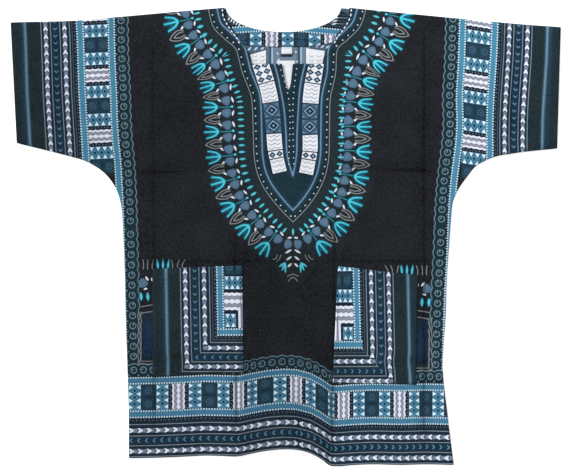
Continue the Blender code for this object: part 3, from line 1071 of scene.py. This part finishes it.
def outwardOf(outline):
    # the way out at each point of a counter-clockwise loop
    heading = unit(np.roll(outline, -1, axis=0) - np.roll(outline, 1, axis=0))
    return np.column_stack([heading[:, 1], -heading[:, 0]])


def loopOf(places, tris):
    # the points of the outer edge, in order, counter-clockwise, from its leftmost one
    edges = np.vstack([tris[:, [0, 1]], tris[:, [1, 2]], tris[:, [2, 0]]])
    size = tris.max() + 1
    rim = edges[~np.isin(edges @ (size, 1), edges @ (1, size))]
    follows = dict(rim.tolist())
    start = rim[np.argmin(places[rim[:, 0], 0])][0]
    loop, here = [start], follows[start]
    while here != start:
        loop.append(here)
        here = follows[here]
    return np.array(loop)


def edgeDistance(x, y, outline):
    nearest = np.full(len(x), 1e9)
    for (ax, ay), (bx, by) in zip(outline, np.roll(outline, -1, axis=0)):
        dx, dy = bx - ax, by - ay
        t = np.clip(((x - ax) * dx + (y - ay) * dy) / (dx * dx + dy * dy + 1e-12), 0, 1)
        nearest = np.minimum(nearest, (x - ax - t * dx) ** 2 + (y - ay - t * dy) ** 2)
    return np.sqrt(nearest)


def shareRound(loop):
    # how far round a loop the end of each of its sides is
    run = np.cumsum(np.hypot(*(np.roll(loop, -1, axis=0) - loop).T))
    return run / run[-1]


def laced(upper, lower, upperAt, lowerAt):
    # triangles between two loops that run the same way: the numbers of their points, and the places
    start = np.argmin(np.hypot(*(lowerAt - upperAt[0]).T))
    lower = np.roll(lower, -start)
    above, below = shareRound(upperAt), shareRound(np.roll(lowerAt, -start, axis=0))
    i = j = 0
    made = []
    while i < len(upper) or j < len(lower):
        edge = [upper[i % len(upper)], lower[j % len(lower)]]
        if j >= len(lower) or (i < len(upper) and above[i] <= below[j]):
            i += 1
            made.append([*edge, upper[i % len(upper)]])
        else:
            j += 1
            made.append([*edge, lower[j % len(lower)]])
    return np.array(made)


def clothShell(
    name, outline, top, bottom, paint, under, material, shade=None, lattice=7.0, edge=0.3, topMap=False
):
    # edge: how far the rim bulges out and the faces roll down to it
    upper, upperTris, upperInk, upperLoop = triangulated(outline, paint, lattice)
    lower, lowerTris, lowerInk, lowerLoop = triangulated(outline, under, lattice if under.shapes else 16.0)

    def surface(places, height, sign):
        # heights and normals; the last millimetres roll down to the edge
        def level(x, y):
            near = np.clip(1 - edgeDistance(x, y, outline) / 3, 0, 1)
            return height(x, y) - sign * edge * near**2

        x, y = places.T
        step = 0.4
        z = level(x, y)
        sx, sy = (level(x + step, y) - z) / step, (level(x, y + step) - z) / step
        return np.column_stack([x, y, z]), unit(np.column_stack([-sx, -sy, np.ones(len(x))]) * sign)

    upperAt, upperNormal = surface(upper, top, 1)
    lowerAt, lowerNormal = surface(lower, bottom, -1)
    if not under.shapes:
        lowerAt[:, 2] = bottom(*lower.T)
    rim = upper[upperLoop]
    outward = outwardOf(rim)
    waist = upperAt[upperLoop, 2] * 0.5 + bottom(*rim.T) * 0.5
    middleAt = np.column_stack([rim + outward * edge, waist])
    middleNormal = np.column_stack([outward, np.zeros(len(rim))])
    upperNormal[upperLoop] += middleNormal * 0.8
    points = np.vstack([upperAt, middleAt, lowerAt]) * mm
    normals = unit(np.vstack([upperNormal, middleNormal, lowerNormal]))
    first, second = len(upper), len(upper) + len(rim)
    ring = np.arange(len(rim))
    after = np.roll(upperLoop, -1)
    mid, midAfter = first + ring, first + np.roll(ring, -1)
    sides = np.vstack([np.column_stack([mid, midAfter, after]), np.column_stack([mid, after, upperLoop])])
    skirt = laced(mid, second + lowerLoop, rim, lower[lowerLoop])
    tris = np.vstack([upperTris, sides, skirt, lowerTris[:, ::-1] + second])
    sideInk = np.tile(inks["selvage"], (len(sides) + len(skirt), 1))
    colours = np.vstack([upperInk, sideInk, lowerInk])
    shades = np.ones(len(points))
    if shade is not None:
        shades[:first] = shade(*upper.T)
    piece = meshObject(name, points, tris, normals, colours, shades, material)
    if topMap:
        share = np.roll(shareRound(rim), 1)
        share[0] = 0
        nearest = [np.argmin(np.hypot(*(rim - spot).T)) for spot in lower[lowerLoop]]
        along = np.zeros(len(points))
        along[upperLoop], along[first + ring], along[second + lowerLoop] = share, share, share[nearest]
        layMap(piece, points / mm, tris, along, (first, second), (len(upperTris), len(lowerTris)))
    return piece


def layMap(piece, points, tris, along, starts, counts):
    # places for a baked print: the top side takes most of the picture, the rim a thin strip
    low, high = points.min(axis=0), points.max(axis=0)
    wide, tall = high[0] - low[0], high[1] - low[1]
    x, y = (points[tris][:, :, k] - low[k] for k in (0, 1))
    uv = np.stack([0.004 + 0.992 * x / wide, 0.004 + 0.992 * y / wide], axis=2)
    below, rim = slice(len(tris) - counts[1], None), slice(counts[0], len(tris) - counts[1])
    uv[below, :, 1] = 0.85 + 0.1 * y[below] / tall
    u = along[tris[rim]]
    u[(np.ptp(u, axis=1) > 0.5)[:, None] & (u < 0.5)] += 1
    level = np.where(tris[rim] < starts[0], 0.994, np.where(tris[rim] < starts[1], 0.978, 0.962))
    uv[rim] = np.stack([0.004 + 0.98 * u, level], axis=2)
    piece.data.uv_layers.new(name="OFBake").uv.foreach_set("vector", uv.ravel())


def meshObject(name, points, tris, normals, colours, shades, material):
    mesh = bpy.data.meshes.new(name)
    mesh.from_pydata(points.tolist(), [], tris.tolist())
    corner = np.ones((len(tris) * 3, 4))
    corner[:, :3] = np.repeat(colours, 3, axis=0) * shades[tris.ravel()][:, None]
    layer = mesh.color_attributes.new("print", "FLOAT_COLOR", "CORNER")
    layer.data.foreach_set("color", corner.ravel())
    mesh.polygons.foreach_set("use_smooth", np.ones(len(tris), bool))
    mesh.materials.append(material)
    if normals is not None:
        mesh.normals_split_custom_set_from_vertices(normals.tolist())
    made = bpy.data.objects.new(name, mesh)
    bpy.context.scene.collection.objects.link(made)
    return made


# Materials
class Socket:
    # one value in a material; sums and products of these add Math nodes
    def __init__(self, tree, socket=None):
        self.tree, self.socket = tree, socket

    def node(self, kind, settings, inputs, output=0):
        made = self.tree.nodes.new(kind)
        for key, value in settings.items():
            setattr(made, key, value)
        for key, value in inputs.items():
            if isinstance(value, Socket):
                self.tree.links.new(value.socket, made.inputs[key])
            else:
                made.inputs[key].default_value = value
        return Socket(self.tree, made.outputs[output])

    def math(self, operation, *values):
        return self.node("ShaderNodeMath", {"operation": operation}, dict(enumerate(values)))

    def __add__(self, other):
        return self.math("ADD", self, other)

    def __sub__(self, other):
        return self.math("SUBTRACT", self, other)

    def __rsub__(self, other):
        return self.math("SUBTRACT", other, self)

    def __mul__(self, other):
        return self.math("MULTIPLY", self, other)

    __radd__, __rmul__ = __add__, __mul__

    def into(self, socket):
        self.tree.links.new(self.socket, socket)


def blankMaterial(name, roughness, specular):
    made = bpy.data.materials.new(name)
    made.use_nodes = True
    shader = made.node_tree.nodes["Principled BSDF"]
    shader.inputs["Roughness"].default_value = roughness
    shader.inputs["Specular IOR Level"].default_value = specular
    return made, shader, Socket(made.node_tree)


def placeOn(start):
    return start.node("ShaderNodeTexCoord", {}, {}, "Object")


def printOn(start):
    return start.node("ShaderNodeVertexColor", {"layer_name": "print"}, {}, "Color")


def noise(place, scale, detail=2.0, **more):
    return place.node("ShaderNodeTexNoise", {}, {"Vector": place, "Scale": scale, "Detail": detail, **more})


def vectorMath(operation, one, other):
    inputs = {0: one, ("Scale" if operation == "SCALE" else 1): other}
    return other.node("ShaderNodeVectorMath", {"operation": operation}, inputs)


def ribs(place, axis, pitch):
    # waves of thread across one direction
    turn = place.node("ShaderNodeSeparateXYZ", {}, {0: place}, axis) * (math.pi / (pitch * mm))
    return turn.math("SINE", turn)


def bumped(shader, height, strength, distance):
    bump = height.node(
        "ShaderNodeBump", {}, {"Height": height, "Strength": strength, "Distance": distance * mm}
    )
    bump.into(shader.inputs["Normal"])


cotton = {
    "roughness": 0.86,
    "threadPitch": 0.75,  # warp and weft, mm
    "threadRelief": 0.05,
    "mottle": 0.07,  # how far the dye varies
    "specular": 0.08,
    "lint": 0.012,  # pale fibres, seen on the dark ground
    "lintColour": (0.85, 0.95, 1.15),
}


def printedCotton(name):
    made, shader, start = blankMaterial(name, cotton["roughness"], cotton["specular"])
    place = placeOn(start)
    weave = ribs(place, 0, cotton["threadPitch"]) * ribs(place, 1, cotton["threadPitch"])
    cloudy = noise(place, 17.0, 5.0, Roughness=0.6)
    fine = noise(place, 260.0)
    slub = noise(start.node("ShaderNodeMapping", {}, {"Vector": place, "Scale": (220.0, 9.0, 1.0)}), 1.0)
    spread = (cloudy - 0.5) * (1.6 * cotton["mottle"]) + (slub - 0.5) * 0.22 + (fine - 0.5) * 0.3
    dyed = vectorMath("SCALE", printOn(start), spread + 1.0 + weave * 0.04)
    lint = ((cloudy - 0.48) * 0.3 + (fine - 0.48) * 0.55) * (cotton["lint"] * 4)
    colour = vectorMath("ADD", dyed, vectorMath("SCALE", cotton["lintColour"], lint))
    colour.into(shader.inputs["Base Color"])
    (cotton["roughness"] - 0.06 + cloudy * 0.14).into(shader.inputs["Roughness"])
    bumped(shader, weave * 0.5 + noise(place, 1400.0) * 0.6, 0.55, cotton["threadRelief"])
    return made


def whiteWoven(name):
    made, shader, start = blankMaterial(name, 0.7, 0.25)
    place = placeOn(start)
    rib, grain = ribs(place, 1, 0.6), noise(place, 900.0)
    tone = 0.95 + rib * 0.03 + (grain - 0.5) * 0.1
    vectorMath("SCALE", printOn(start), tone).into(shader.inputs["Base Color"])
    bumped(shader, rib + grain, 0.5, 0.05)
    return made


def sewingThread(name, colour):
    made, shader, start = blankMaterial(name, 0.6, 0.3)
    dark, pale = (*(colour * 0.6), 1), (*(colour * 1.5), 1)
    grain = noise(placeOn(start), 700.0)
    tint = start.node("ShaderNodeMix", {"data_type": "RGBA"}, {0: grain, 6: dark, 7: pale}, 2)
    tint.into(shader.inputs["Base Color"])
    return made


faceCotton, backCotton, pocketCotton, facingCotton = (
    printedCotton("printed cotton " + place) for place in ("face", "back", "pockets", "facing")
)
labelCloth = whiteWoven("woven label")
threadCloth = sewingThread("sewing thread", linear("#2b3540"))
print("materials made")


# The pieces
def finishPiece(piece, node, outline):
    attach(piece, "root")
    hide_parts(node)
    low, high = outline.min(axis=0) * mm, outline.max(axis=0) * mm
    flat = (high[0] - low[0], high[1] - low[1])


plainUnder = Paint("under")


def broadShade(x, y):
    # the photograph's light: paler to the right and the top, darker low down and in the middle
    middle = smooth((84 - np.abs(x - 2)) / 12) * smooth((20 - y) / 50)
    clouds = np.sin(x / 61 + 1.3) * np.sin(y / 73 + x / 140) + 0.6 * np.sin(x / 27 + y / 39)
    broad = 0.98 + 0.11 * x / 300 + 0.09 * smooth((y - 180) / 160) - 0.05 * smooth((-120 - y) / 160)
    return broad - 0.2 * middle + 0.03 * clouds - foldHeight(x, y, shadeFolds)


def frontShade(x, y):
    # painted light and shade: paler on the ridges and the wrinkles as a painted highlight, dark in the
    # crease above or left of each as a painted shadow
    # a narrow and a broad painted shadow beside each sharp fold
    creaseShadows = []
    for (ax, ay), (bx, by), height, half in sharpFolds:
        dx, dy = (-3.5, 0) if abs(by - ay) > abs(bx - ax) else (0, 2.6)
        creaseShadows.append(((ax + dx, ay + dy), (bx + dx, by + dy), height, 2.6))
        creaseShadows.append(((ax + 2 * dx, ay + 3 * dy), (bx + 2 * dx, by + 3 * dy), height * 0.3, 11))
    ridge, wrinkleLight = foldHeight(x, y, sharpFolds), foldHeight(x, y, wrinkles)
    return broadShade(x, y) * (1 + 0.2 * ridge - 1.15 * foldHeight(x, y, creaseShadows) + 0.3 * wrinkleLight)


def level(height):
    return lambda x, y: height + 0 * x


frontOutline = frontCut()
front = clothShell(
    "front", frontOutline, frontTop, frontUnder, facePaint(True), plainUnder, faceCotton, frontShade,
    topMap=True,
)
print("front made", len(front.data.polygons))

backOutline = backCut()
back = clothShell(
    "back", backOutline, level(cloth["wall"]), level(0), insidePaint(), facePaint(False), backCotton,
    lattice=12.0,
)
print("back made", len(back.data.polygons))


def straightCut(corners):
    # straight sides, with a point about every 10 mm
    sides = []
    for a, b in zip(corners, corners[1:] + corners[:1]):
        sides.append(rounded([a, ((a[0] + b[0]) / 2, (a[1] + b[1]) / 2), b], 10)[:-1])
    return np.vstack(sides)


def makePocket(side):
    pocket = pockets[side]
    outline = straightCut(pocket["corners"])
    if pocket["way"] < 0:
        outline = outline[::-1]
    (ax, ay), (bx, by) = pocket["corners"][0], pocket["corners"][3]

    def belowMouth(x, y):
        return ay + (by - ay) * (x - ax) / (bx - ax) - y

    def under(x, y):
        middle = smooth((70 - np.abs(x - (ax + bx) / 2)) / 60)
        gape = 1.3 * middle * np.exp(-((belowMouth(x, y) / 26) ** 2))
        return frontUnder(x, y) + cloth["wall"] + cloth["gap"] + gape

    def top(x, y):
        return under(x, y) + cloth["wall"] + cloth["hemStep"] * smooth((22 - belowMouth(x, y)) / 2.5)

    name, paint = f"pocket_{side}_cloth", pocketPaint(pocket)
    return clothShell(name, outline, top, under, paint, plainUnder, pocketCotton, broadShade), outline, top


facingOutline = np.vstack([neckArc(cloth["facingWidth"], 3, 8), neckArc(0, 2, 5)[::-1]])
facingLow = cloth["wall"] + cloth["gap"]
facing = clothShell(
    "neck_facing", facingOutline, level(facingLow + cloth["trim"]), level(facingLow), facingPaint(),
    plainUnder, facingCotton, lattice=9.0,
)

label = {"size": (18.7, 12.2), "x": 2.0, "lift": 2.2, "lattice": 2.0, "edge": 0.1}


def makeLabel():
    wide, high = label["size"]
    top = cloth["neckTop"] - cloth["backNeckDepth"] - cloth["facingWidth"] - cloth["gap"]
    corners = ((-wide / 2, 0), (-wide / 2, -high), (wide / 2, -high), (wide / 2, 0))
    outline = straightCut([(label["x"] + x, top + y) for x, y in corners])

    def under(x, y):
        curl = 0.8 + 0.2 * np.cos((x - label["x"]) / 5)
        return facingLow + label["lift"] * smooth((top - y) / high) * curl

    def above(x, y):
        return under(x, y) + cloth["trim"] * 0.6

    def down(run, side):
        return label["x"] + side, top - run

    paint = Paint("blockWhite")
    for fold in (1.4, high - 2):
        paint.strip(down, fold, fold + 0.6, -wide / 2 + 1, wide / 2 - 1, "blockGrey")
    piece = clothShell(
        "neck_label", outline, above, under, paint, Paint("blockWhite"), labelCloth,
        lattice=label["lattice"], edge=label["edge"],
    )
    return piece, outline


labelPiece, labelOutline = makeLabel()
print("facing and label made")


# Stitching: short threads that dip into the cloth
stitch = {
    "pitch": 3.4,
    "length": 2.7,
    "radius": 0.33,
    "sides": 6,
    "inset": 2.5,  # from the turned edge of the hem and the cuffs
}
# Along a stitch: place, thickness, rise
stitchRings = ((-0.5, 0.25, -0.25), (-0.3, 0.9, 0.05), (0, 1, 0.12), (0.3, 0.9, 0.05), (0.5, 0.25, -0.25))


def stitchRow(rows, height):
    # rows of (at, start, stop, side); every stitch is a small spindle
    sides = stitch["sides"]
    turn = np.arange(sides) * 2 * math.pi / sides
    points, tris = [], []
    for at, start, stop, side in rows:
        runs = np.arange(start + stitch["pitch"] / 2, stop, stitch["pitch"])
        x, y = at(runs, np.full(len(runs), side))
        ahead = unit(np.column_stack(at(runs + 0.5, np.full(len(runs), side))) - np.column_stack([x, y]))
        for cx, cy, cz, (hx, hy) in zip(x, y, height(x, y), ahead):
            first = len(points)
            for t, fat, rise in stitchRings:
                px, py = cx + hx * t * stitch["length"], cy + hy * t * stitch["length"]
                off = stitch["radius"] * fat
                for c, s in zip(np.cos(turn), np.sin(turn)):
                    points.append((px - hy * c * off, py + hx * c * off, cz + rise + s * off))
            for ring in range(len(stitchRings) - 1):
                for k in range(sides):
                    a, b = first + ring * sides + k, first + ring * sides + (k + 1) % sides
                    tris += [(a, b, b + sides), (a, b + sides, a + sides)]
            last = first + (len(stitchRings) - 1) * sides
            for k in range(1, sides - 1):
                tris += [(first, first + k + 1, first + k), (last, last + k, last + k + 1)]
    return np.array(points) * mm, np.array(tris)


def makeStitches(name, rows, height):
    points, tris = stitchRow(rows, height)
    colours = np.tile(inks["navy"], (len(tris), 1))
    piece = meshObject(name, points, tris, None, colours, np.ones(len(points)), threadCloth)
    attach(piece, "root")
    return piece


def frontRows():
    depth = cloth["hemDepth"] - stitch["inset"]
    rows = [(hemAt, 6, 614, depth)]
    for side in cuffs:
        at, length = lane(cuffs[side], 40, side == "right")
        rows.append((at, 6, length - 6, depth))
    floor, foot = cloth["neckTop"] - frontNeckline[-1][0], cloth["neckTop"] - cloth["slitDrop"] - 4
    for way in (-1, 1):
        at, length = lane(neckSide(way), 5, way < 0)
        rows.append((at, 6, length, 5.5))
        x = cloth["slitX"] + way * cloth["slitHalfWidth"]
        for line in (
            [(cloth["frontNeckX"] + way * 58, floor - 5), (x + way * 6, floor - 5)],
            [(x + way * 4, floor - 6), (cloth["slitX"] + way * 3.4, foot)],
        ):
            at, length = lane(line, 8)
            rows.append((at, 0, length, 0))
    return rows


frontStitches = makeStitches("front_stitching", frontRows(), frontTop)
finishPiece(back, "back_panel", backOutline)
finishPiece(front, "front_panel", frontOutline)
finishPiece(facing, "back_neck_facing", facingOutline)
finishPiece(labelPiece, "label", labelOutline)


def pocketSeams(corners, way):
    # along three sides, a little in from the edge, and across below the mouth
    middle = np.mean(corners, axis=0)
    inner = [tuple(np.array(corner) + np.sign(middle - corner) * 3.2) for corner in corners]
    rows = []
    for a, b in zip(inner, inner[1:]):
        at, length = lane([a, b], 20)
        rows.append((at, 0, length, 0))
    at, length = lane([corners[0], corners[3]], 20, way > 0)
    return rows + [(at, 5, length - 5, 20.0)]


for side, pocket in pockets.items():
    piece, outline, top = makePocket(side)
    seams = pocketSeams(pocket["corners"], pocket["way"])
    stitches = makeStitches(f"pocket_{side}_stitching", seams, top)
    finishPiece(piece, f"pocket_{side}", outline)
print("pockets and stitching made")


# Floor and light
stage = {
    "floorSize": 12.0,
    "floorGrey": 0.95,
    "glow": 0.5,  # the white paper is lit by itself
    "sky": 0.62,
    "sun": 3.1,
    "sunAngle": 22.0,
    "sunTilt": (-30, -56, 0),
}


def makeStage():
    bpy.ops.mesh.primitive_plane_add(size=stage["floorSize"], location=(0, 0, -0.0006))
    floor = bpy.context.object
    floor.name = "floor"
    made, shader, _ = blankMaterial("pale floor", 0.95, 0.0)
    shader.inputs["Base Color"].default_value = (*[stage["floorGrey"]] * 3, 1)
    shader.inputs["Emission Color"].default_value = (1, 1, 1, 1)
    shader.inputs["Emission Strength"].default_value = stage["glow"]
    floor.data.materials.append(made)
    world = bpy.data.worlds.new("studio")
    world.use_nodes = True
    sky = world.node_tree.nodes["Background"]
    sky.inputs["Color"].default_value = (1, 1, 1, 1)
    sky.inputs["Strength"].default_value = stage["sky"]
    bpy.context.scene.world = world
    sun = bpy.data.lights.new("key", "SUN")
    sun.energy = stage["sun"]
    sun.angle = math.radians(stage["sunAngle"])
    lamp = bpy.data.objects.new("key", sun)
    lamp.rotation_euler = [math.radians(tilt) for tilt in stage["sunTilt"]]
    bpy.context.scene.collection.objects.link(lamp)


makeStage()
bpy.context.scene.view_settings.view_transform = "Standard"
print("stage lit")
